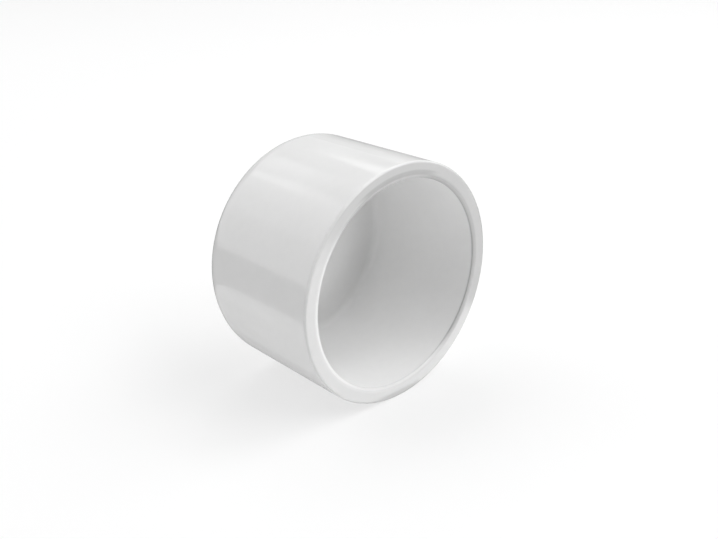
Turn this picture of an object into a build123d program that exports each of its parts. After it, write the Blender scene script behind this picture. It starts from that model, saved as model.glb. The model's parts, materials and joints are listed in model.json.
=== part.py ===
from build123d import *
import math
import os

# Socket cap for 2-inch Schedule 40 PVC pipe: one injection-moulded cup that slips
# over the end of the pipe and is solvent-welded there.
#
# Frame: the origin is the centre of the mouth plane, +X points out of the mouth
# along the socket axis, and +Z is up with the cap lying on its side.
# All sizes are in millimetres.

# Outside
OUTER_RADIUS = 69.85 / 2            # at the mouth, 2.75 inches across
DRAFT_ANGLE = 0.57                  # degrees; the outer wall narrows towards the closed end
SHOULDER_DEPTH = 43.9               # mouth plane to the corner of wall and crown
SHOULDER_ROUND = 6.0
CROWN_HEIGHT = 2.8                  # rise of the domed end beyond the shoulder
MOUTH_EDGE_ROUND = 0.7

# Socket
SOCKET_RADIUS = 60.40 / 2           # mean size of the real, slightly tapered socket
FLOOR_DEPTH = 41.0                  # mouth plane to the flat floor
FLOOR_ROUND = 2.0
LEAD_IN_DEPTH = 0.4                 # shallow cone that guides the pipe in
LEAD_IN_WIDTH = 1.3
LEAD_IN_BLEND = 2.0                 # round where the cone runs out into the mouth ring
SOCKET_EDGE_ROUND = 0.2             # crisp edge where the cone meets the socket wall

# Gate mark at the centre of the crown, where the plastic entered the mould:
# a round dimple with the trimmed stub of the sprue standing in it
DIMPLE_RADIUS = 5.5
DIMPLE_DEPTH = 0.6
DIMPLE_RIM_ROUND = 1.5
STUB_RADIUS = 1.6
STUB_HEIGHT = 0.4                   # above the deepest point of the dimple
STUB_EDGE_ROUND = 0.15

OVERALL_DEPTH = SHOULDER_DEPTH + CROWN_HEIGHT
SHOULDER_RADIUS = OUTER_RADIUS - SHOULDER_DEPTH * math.tan(math.radians(DRAFT_ANGLE))


def round_corner(section, corner, radius):
    """Round the corner of a flat section that lies nearest to a given point."""
    return fillet(section.vertices().sort_by_distance(corner)[0], radius)


def cup_section():
    """Half of the cut through the plain cup: X along the axis, Y outwards from it."""
    socket_edge = (-LEAD_IN_DEPTH, SOCKET_RADIUS)
    mouth_inner = (0, SOCKET_RADIUS + LEAD_IN_WIDTH)
    mouth_outer = (0, OUTER_RADIUS)
    shoulder = (-SHOULDER_DEPTH, SHOULDER_RADIUS)
    crown_tip = (-OVERALL_DEPTH, 0)
    floor_centre = (-FLOOR_DEPTH, 0)
    floor_corner = (-FLOOR_DEPTH, SOCKET_RADIUS)

    crown = TangentArc(crown_tip, shoulder, tangent=(0, 1))
    outside = Polyline(shoulder, mouth_outer, mouth_inner)
    inside = Polyline(mouth_inner, socket_edge, floor_corner, floor_centre, crown_tip)

    section = make_face([crown, outside, inside])
    section = round_corner(section, shoulder, SHOULDER_ROUND)
    section = round_corner(section, floor_corner, FLOOR_ROUND)
    section = round_corner(section, socket_edge, SOCKET_EDGE_ROUND)
    section = round_corner(section, mouth_inner, LEAD_IN_BLEND)
    return round_corner(section, mouth_outer, MOUTH_EDGE_ROUND)


def with_gate_mark(section):
    """Sink the dimple into the crown of a half section and stand the stub in it."""
    dimple_bottom = -OVERALL_DEPTH + DIMPLE_DEPTH
    hollow_radius = (DIMPLE_RADIUS**2 + DIMPLE_DEPTH**2) / (2 * DIMPLE_DEPTH)
    section -= Pos(dimple_bottom - hollow_radius, 0) * Circle(hollow_radius)
    section = round_corner(section, (-OVERALL_DEPTH, DIMPLE_RADIUS), DIMPLE_RIM_ROUND)

    stub_top = dimple_bottom - STUB_HEIGHT
    root = DIMPLE_DEPTH                 # how far the stub's outline runs into the wall
    stub = Pos(stub_top, 0) * Rectangle(STUB_HEIGHT + root, STUB_RADIUS, align=Align.MIN)
    section += stub
    return round_corner(section, (stub_top, STUB_RADIUS), STUB_EDGE_ROUND)


def cap_body():
    """The whole moulding, which is a body of revolution about the socket axis."""
    return revolve(Plane.XZ * with_gate_mark(cup_section()), Axis.X)


os.makedirs("parts", exist_ok=True)
export_step(cap_body(), "parts/cap_body.step")
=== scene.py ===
import json
import math
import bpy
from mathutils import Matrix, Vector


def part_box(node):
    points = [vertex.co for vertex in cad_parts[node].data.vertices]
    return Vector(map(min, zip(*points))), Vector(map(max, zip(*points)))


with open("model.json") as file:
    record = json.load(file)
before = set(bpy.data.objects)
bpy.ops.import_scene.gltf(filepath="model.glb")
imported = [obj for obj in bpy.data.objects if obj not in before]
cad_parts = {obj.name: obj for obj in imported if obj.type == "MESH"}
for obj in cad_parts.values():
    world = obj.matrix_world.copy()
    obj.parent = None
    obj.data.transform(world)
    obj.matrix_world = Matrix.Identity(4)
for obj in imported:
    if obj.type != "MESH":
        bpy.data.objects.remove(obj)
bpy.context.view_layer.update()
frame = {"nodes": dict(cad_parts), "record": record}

from types import SimpleNamespace

import bpy
from mathutils import Matrix, Vector

cap_low, cap_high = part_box("cap_body")

# The cap lies on its side. Its mouth faces +X and the table touches the bottom of its wall.
# Lengths are in metres. A direction round the cap is an azimuth (0 = +X, 90 = +Y) and an elevation,
# both in degrees.

# Camera: where it stands round the cap, how far off, and what it is aimed at
CAMERA_AZIMUTH = -43.34
CAMERA_ELEVATION = 23.36
CAMERA_DISTANCE = 0.2744
CAMERA_CLIP_START = 0.01
AIM_RIGHT = 0.0042                      # aim point, measured from the middle of the cap
AIM_DOWN = 0.0023
LENS = 47.24                            # mm
SENSOR_WIDTH = 36                       # mm

# Softboxes: name, azimuth, elevation, width and height in degrees as seen from the cap, brightness
SOFTBOX_DISTANCE = 1.5
SOFTBOXES = [
    ("key_left", 12, 45, 26, 24, 4.0),
    ("key_mid", 40, 47, 26, 24, 1.8),
    ("key_right", 68, 50, 26, 24, 4.0),
    ("high_left", 5, 69, 50, 18, 0.8),
    ("high_right", 80, 69, 60, 18, 1.2),
    ("rear_high", -176, 60, 70, 26, 1.9),
    ("rear_left", -146, 36, 44, 22, 1.0),
    ("side_left", -149, 12, 58, 28, 0.9),
    ("back_low", 140, 10, 60, 24, 0.2),
    ("crest", 129, 24, 12, 22, 0.4),
    ("crest_high", 141, 36, 12, 12, 1.0),
    ("streak", 178, 39, 20, 9, 0.75),
    ("right_mid", 90, 30, 40, 30, 0.65),
    ("camera_fill", -40, 12, 36, 36, 0.45),
]

# Cards that lie just above the table and only show up as reflections:
# name, x and y of two opposite corners, brightness
CARD_GAP = 0.0003
CARDS = [
    ("card_front", 0.002, -0.020, 0.130, 0.061, 2.3),
    ("card_left_far", -0.095, -0.078, -0.001, -0.053, 0.85),
    ("card_left_mid", -0.095, -0.053, -0.001, -0.038, 0.60),
    ("card_left_near", -0.095, -0.038, -0.001, -0.027, 0.52),
    ("card_left_under", -0.095, -0.027, -0.001, -0.012, 0.42),
    ("card_back", -0.900, 0.200, -0.200, 1.000, 0.3),
    ("card_right_near", -0.095, 0.010, 0.002, 0.034, 0.35),
    ("card_right_far", -0.095, 0.034, 0.002, 0.080, 0.5),
]

# Surroundings: a glowing table, a glowing dome far behind everything, and the light of the room
TABLE_SIZE = 6.0
TABLE_GREY = 0.4
TABLE_GLOW = 0.55
DOME_RADIUS = 1.9
DOME_SEGMENTS, DOME_RINGS = 96, 48
DOME_GLOW = 0.80
ROOM_GLOW = 0.18
HORIZON = -0.05                         # sine of the elevation under which the room is dark

# White PVC: how much light each zone sends back, part of it painted light and shade, what painted shade
# takes off it, and how rough the shine is
PVC_IOR = 1.53
# The whole cap is one white PVC: the whiter socket is painted light and the greyer ring is painted shade.
OUTER_WHITE, SOCKET_LIT_WHITE, RING_SHADED_WHITE = 0.815, 0.90, 0.70
# The lead-in's whites are painted light and shade: lit on its lower side, painted shade on the side up and
# towards +Y, somewhat less shade at its top.
LEAD_IN_LIT_WHITE, LEAD_IN_SHADED_WHITE, LEAD_IN_TOP_SHADED_WHITE = 0.79, 0.47, 0.60
# Painted shade taken off the white: in the corner between the socket's floor and wall, and in a narrow band
# on the ring at the top of the mouth.
CORNER_PAINTED_SHADE, TOP_BAND_PAINTED_SHADE = -0.13, -0.13
BLUE_SHARE = 0.998                      # of what red and green have
OUTER_ROUGHNESS, SOCKET_ROUGHNESS, FLOOR_ROUGHNESS = 0.13, 0.33, 0.55
RING_WEAR = 0.05

# Zones of the moulding: each pair of limits is where a zone fades in or out.
# Along X, from the plane of the mouth:
RING_DEPTH = (-0.0006, -0.0003)
LEAD_IN_DEPTH = (-0.0011, -0.0005)
# Along X, from the deep end of the socket's straight wall:
BEHIND_FLOOR = (-0.0035, -0.0025)
FLOOR_EDGE = (-0.0004, 0.0010)
CORNER_EDGE = (-0.0020, 0.0003)
# Outwards from the wall of the socket:
RING_EDGE = (0.0040, 0.0044)
LEAD_IN_EDGE = (0.0001, 0.0016)
# Limits of a narrow band of painted shade on the ring at the top of the mouth:
SHADED_BAND_INNER_EDGE = (0.0008, 0.0013)
SHADED_BAND_OUTER_EDGE = (0.0019, 0.0026)
SOCKET_EDGE = (0.0003, 0.0012)
# Outwards from the axis:
CORNER_REACH = (0.014, 0.026)
# From the axis in a direction of their own, which is up and to +Y, or nearly straight up:
SHADED_SIDE_WAY, SHADED_SIDE_EDGE = (0, 0.73, 0.68), (-0.012, 0.004)
TOP_WAY, TOP_EDGE = (0, -0.06, 1.0), (0.0278, 0.0304)

# Unevenness of the finish. A scale is the number of lumps to the metre, levels are the noise values
# between which it takes effect, and a stretch below 1 draws the lumps out along that axis. The rest is
# how far the noise changes the white, the roughness or, in metres, the height.
CLOUD_SCALE, CLOUD_SHADE = 38.0, 0.008
MOTTLE_SCALE, MOTTLE_SHADE = 420.0, 0.005
SHADE_LEVELS = (0.3, 0.7)
GLOSS_SCALE, GLOSS_CHANGE = 90.0, 0.02
GLOSS_LEVELS = (0.35, 0.65)
SCUFF_SCALE, SCUFF_CHANGE = 210.0, 0.06
SCUFF_LEVELS = (0.60, 0.72)
SCUFF_STRETCH = (0.35, 1.0, 1.6)
WAVE_SCALE, WAVE_HEIGHT = 55.0, 0.000030
DRAW_MARK_SCALE, DRAW_MARK_HEIGHT = 700.0, 0.0000025
DRAW_MARK_STRETCH = (0.03, 1.0, 1.0)
PEEL_SCALE, PEEL_HEIGHT = 900.0, 0.0000015


def direction(azimuth, elevation):
    """Unit vector that points away from the cap."""
    turn, rise = math.radians(azimuth), math.radians(elevation)
    level = math.cos(rise)
    return Vector((level * math.cos(turn), level * math.sin(turn), math.sin(rise)))


def facing(back):
    """Right, up and back axes of something that looks along -back. Right is +Y if it looks up or down."""
    across = Vector((-back.y, back.x, 0))
    right = across.normalized() if across.length > 1e-6 else Vector((0, 1, 0))
    return right, back.cross(right), back


def placed(data, name, location, axes):
    """A new object of this data at a location, with its own axes along three given ones."""
    thing = bpy.data.objects.new(name, data)
    thing.matrix_world = Matrix.Translation(location) @ Matrix(axes).transposed().to_4x4()
    bpy.context.scene.collection.objects.link(thing)
    return thing


def make_camera():
    axes = facing(direction(CAMERA_AZIMUTH, CAMERA_ELEVATION))
    right, up, back = axes
    aim = (cap_low + cap_high) / 2 + right * AIM_RIGHT - up * AIM_DOWN
    data = bpy.data.cameras.new("camera")
    data.sensor_width = SENSOR_WIDTH
    data.lens = LENS
    data.clip_start = CAMERA_CLIP_START
    bpy.context.scene.camera = placed(data, "camera", aim + back * CAMERA_DISTANCE, axes)


def light_panel(name, width, height, brightness):
    """Data of a rectangular light whose face has this brightness, whatever its size."""
    data = bpy.data.lights.new(name, "AREA")
    data.shape = "RECTANGLE"
    data.size = width
    data.size_y = height
    data.energy = brightness * math.pi * data.size * data.size_y
    return data


def make_softbox(name, azimuth, elevation, width, height, brightness):
    sides = [2 * SOFTBOX_DISTANCE * math.tan(math.radians(side / 2)) for side in (width, height)]
    back = direction(azimuth, elevation)
    placed(light_panel(name, *sides, brightness), name, back * SOFTBOX_DISTANCE, facing(back))


def make_card(name, x0, y0, x1, y1, brightness):
    centre = Vector(((x0 + x1) / 2, (y0 + y1) / 2, cap_low.z + CARD_GAP))
    panel = light_panel(name, y1 - y0, x1 - x0, brightness)
    card = placed(panel, name, centre, facing(Vector((0, 0, -1))))
    card.visible_diffuse = False


def principled(name):
    """A new material and its shader node."""
    material = bpy.data.materials.new(name)
    material.use_nodes = True
    return material, material.node_tree.nodes["Principled BSDF"]


def glowing(name, grey, glow):
    """A grey material without any shine that gives off white light."""
    material, shader = principled(name)
    shader.inputs["Base Color"].default_value = (grey, grey, grey, 1)
    shader.inputs["Roughness"].default_value = 1.0
    shader.inputs["Specular IOR Level"].default_value = 0.0
    shader.inputs["Emission Color"].default_value = (1, 1, 1, 1)
    shader.inputs["Emission Strength"].default_value = glow
    return material


def make_table():
    """A wide table that gives off light, which shiny surfaces don't mirror."""
    bpy.ops.mesh.primitive_plane_add(size=TABLE_SIZE, location=(0, 0, cap_low.z))
    table = bpy.context.object
    table.name = "light_table"
    table.data.materials.append(glowing("light_table", TABLE_GREY, TABLE_GLOW))
    table.visible_glossy = False


def make_backdrop():
    """A pale dome far behind everything, which only the camera sees."""
    bpy.ops.mesh.primitive_uv_sphere_add(
        segments=DOME_SEGMENTS, ring_count=DOME_RINGS, radius=DOME_RADIUS, location=(0, 0, cap_low.z))
    dome = bpy.context.object
    dome.name = "backdrop"
    dome.data.materials.append(glowing("backdrop", 0, DOME_GLOW))
    dome.data.shade_smooth()
    dome.visible_diffuse = False
    dome.visible_glossy = False
    dome.visible_transmission = False
    dome.visible_shadow = False


def linked(tree, kind, inputs, **settings):
    """A new node with its settings made and its inputs, by name or number, linked or set."""
    made = tree.nodes.new("ShaderNode" + kind)
    for name, value in settings.items():
        setattr(made, name, value)
    for name, value in inputs.items():
        if isinstance(value, bpy.types.NodeSocket):
            tree.links.new(value, made.inputs[name])
        else:
            made.inputs[name].default_value = value
    return made


def ramp(tree, value, limits, start, end):
    """Goes smoothly from start to end while the value goes from one limit to the other."""
    inputs = {"Value": value, "From Min": limits[0], "From Max": limits[1], "To Min": start, "To Max": end}
    return linked(tree, "MapRange", inputs, interpolation_type="SMOOTHSTEP").outputs["Result"]


def above(tree, value, limits):
    """Goes from 0 below the limits to 1 above them."""
    return ramp(tree, value, limits, 0.0, 1.0)


def below(tree, value, limits):
    """Goes from 1 below the limits to 0 above them."""
    return ramp(tree, value, limits, 1.0, 0.0)


def product(tree, value, *others):
    for other in others:
        value = linked(tree, "Math", {0: value, 1: other}, operation="MULTIPLY").outputs[0]
    return value


def total(tree, value, *others):
    for other in others:
        value = linked(tree, "Math", {0: value, 1: other}, operation="ADD").outputs[0]
    return value


def mixed(tree, factor, first, second):
    """The first value where the factor is 0 and the second where it is 1."""
    return linked(tree, "Mix", {"Factor": factor, "A": first, "B": second}).outputs["Result"]


def vector_math(tree, operation, output, *vectors):
    """The named output of an operation on one or two vectors."""
    return linked(tree, "VectorMath", dict(enumerate(vectors)), operation=operation).outputs[output]


def noise(tree, place, scale, detail=2.0, stretch=(1, 1, 1)):
    """Noise between 0 and 1, with about this many lumps to the metre."""
    stretched = linked(tree, "Mapping", {"Vector": place, "Scale": stretch}).outputs["Vector"]
    return linked(tree, "TexNoise", {"Vector": stretched, "Scale": scale, "Detail": detail}).outputs["Fac"]


def make_room():
    """The room round the table: dim above the horizon and dark below it."""
    world = bpy.data.worlds.new("studio")
    world.use_nodes = True
    tree = world.node_tree
    shown = tree.nodes["Background"]
    shown.inputs["Color"].default_value = (1, 1, 1, 1)
    way = tree.nodes.new("ShaderNodeTexCoord").outputs["Generated"]
    rise = linked(tree, "SeparateXYZ", {0: way}).outputs["Z"]
    lit = linked(tree, "Math", {0: rise, 1: HORIZON}, operation="GREATER_THAN").outputs[0]
    tree.links.new(product(tree, lit, ROOM_GLOW), shown.inputs["Strength"])
    bpy.context.scene.world = world


def find_zones(tree, place):
    """How far a place belongs to each zone of the moulding, from 0 to 1."""
    mount = next(mount for mount in frame["record"]["mounts"] if mount["name"] == "pipe_socket")
    socket_radius = mount["dims"]["r_mm"] / 1000
    socket_end = mount["pos_m"][0] - mount["dims"]["length_mm"] / 1000

    depth = linked(tree, "SeparateXYZ", {0: place}).outputs["X"]
    before_end = total(tree, depth, -socket_end)
    radius = vector_math(tree, "LENGTH", "Value", vector_math(tree, "MULTIPLY", "Vector", place, (0, 1, 1)))
    past_wall = total(tree, radius, -socket_radius)

    # The flat ring of the mouth, and the cone that leads from it into the socket
    ring = product(tree, above(tree, depth, RING_DEPTH), below(tree, past_wall, RING_EDGE))
    lead_in = product(tree, above(tree, depth, LEAD_IN_DEPTH), below(tree, past_wall, LEAD_IN_EDGE))

    # The side of the cone that gets painted shade, the top of the mouth, and a narrow band of painted shade
    # on the ring there
    shaded_side = above(tree, vector_math(tree, "DOT_PRODUCT", "Value", place, SHADED_SIDE_WAY), SHADED_SIDE_EDGE)
    top = above(tree, vector_math(tree, "DOT_PRODUCT", "Value", place, TOP_WAY), TOP_EDGE)
    band = product(tree, above(tree, past_wall, SHADED_BAND_INNER_EDGE), below(tree, past_wall, SHADED_BAND_OUTER_EDGE))
    shaded_band = product(tree, ring, band, top)

    # The inside of the socket, its floor, and the corner between floor and wall
    socket = product(tree, below(tree, past_wall, SOCKET_EDGE), above(tree, before_end, BEHIND_FLOOR))
    floor = product(tree, socket, below(tree, before_end, FLOOR_EDGE))
    corner = product(tree, socket, below(tree, before_end, CORNER_EDGE), above(tree, radius, CORNER_REACH))

    return SimpleNamespace(
        ring=ring, lead_in=lead_in, shaded_side=shaded_side, top=top, shaded_band=shaded_band,
        socket=socket, floor=floor, corner=corner)


def pvc_colour(tree, place, zones):
    """A white that changes from zone to zone with painted light and shade, painted shade in the floor
    corner, on the lead-in and on the ring at the top, faint clouds and mottling.
    """
    # Painted light in the socket and painted shade on the ring
    wall = mixed(tree, zones.socket, OUTER_WHITE, SOCKET_LIT_WHITE)
    with_ring = mixed(tree, zones.ring, wall, RING_SHADED_WHITE)
    # The lead-in: painted light on its lower side, painted shade on its upper +Y side and at its top
    shaded_lead_in = mixed(tree, zones.top, LEAD_IN_SHADED_WHITE, LEAD_IN_TOP_SHADED_WHITE)
    lead_in = mixed(tree, zones.shaded_side, LEAD_IN_LIT_WHITE, shaded_lead_in)
    plain = mixed(tree, zones.lead_in, with_ring, lead_in)

    # Painted shade: the corner between floor and wall, and a band on the ring at the top of the mouth
    corner_shade = product(tree, zones.corner, CORNER_PAINTED_SHADE)
    top_band_shade = product(tree, zones.shaded_band, TOP_BAND_PAINTED_SHADE)
    cloud = noise(tree, place, CLOUD_SCALE)
    mottle = noise(tree, place, MOTTLE_SCALE, detail=3.0)
    clouds = ramp(tree, cloud, SHADE_LEVELS, -CLOUD_SHADE, CLOUD_SHADE)
    mottling = ramp(tree, mottle, SHADE_LEVELS, -MOTTLE_SHADE, MOTTLE_SHADE)

    level = total(tree, plain, corner_shade, top_band_shade, clouds, mottling)
    blue = product(tree, level, BLUE_SHARE)
    return linked(tree, "CombineColor", {"Red": level, "Green": level, "Blue": blue}).outputs["Color"]


def pvc_roughness(tree, place, zones):
    """Polished outside, duller in the socket and on its floor, worn at the mouth, with scuffs."""
    wall = mixed(tree, zones.socket, OUTER_ROUGHNESS, SOCKET_ROUGHNESS)
    plain = mixed(tree, zones.floor, wall, FLOOR_ROUGHNESS)
    worn = product(tree, zones.ring, RING_WEAR)
    gloss = noise(tree, place, GLOSS_SCALE)
    patches = ramp(tree, gloss, GLOSS_LEVELS, -GLOSS_CHANGE, GLOSS_CHANGE)
    scuff = noise(tree, place, SCUFF_SCALE, detail=4.0, stretch=SCUFF_STRETCH)
    scuffs = ramp(tree, scuff, SCUFF_LEVELS, 0.0, SCUFF_CHANGE)
    return total(tree, plain, worn, patches, scuffs)


def pvc_relief(tree, place):
    """Slow shrinkage waves, lengthwise draw marks and a fine orange peel."""
    waves = product(tree, noise(tree, place, WAVE_SCALE, detail=1.0), WAVE_HEIGHT)
    draw_mark = noise(tree, place, DRAW_MARK_SCALE, stretch=DRAW_MARK_STRETCH)
    draw_marks = product(tree, draw_mark, DRAW_MARK_HEIGHT)
    peel = product(tree, noise(tree, place, PEEL_SCALE), PEEL_HEIGHT)
    height = total(tree, waves, draw_marks, peel)
    return linked(tree, "Bump", {"Height": height, "Distance": 1.0, "Strength": 1.0}).outputs["Normal"]


def make_pvc():
    """White moulded PVC whose roughness and painted light and shade differ from zone to zone."""
    material, shader = principled("white_pvc_moulded")
    tree = material.node_tree
    place = tree.nodes.new("ShaderNodeTexCoord").outputs["Object"]
    zones = find_zones(tree, place)
    shader.inputs["IOR"].default_value = PVC_IOR
    tree.links.new(pvc_colour(tree, place, zones), shader.inputs["Base Color"])
    tree.links.new(pvc_roughness(tree, place, zones), shader.inputs["Roughness"])
    tree.links.new(pvc_relief(tree, place), shader.inputs["Normal"])
    return material


make_camera()
make_table()
make_backdrop()
make_room()
for softbox in SOFTBOXES:
    make_softbox(*softbox)
for card in CARDS:
    make_card(*card)
frame["nodes"]["cap_body"].material_slots[0].material = make_pvc()
bpy.context.scene.view_settings.view_transform = "Standard"
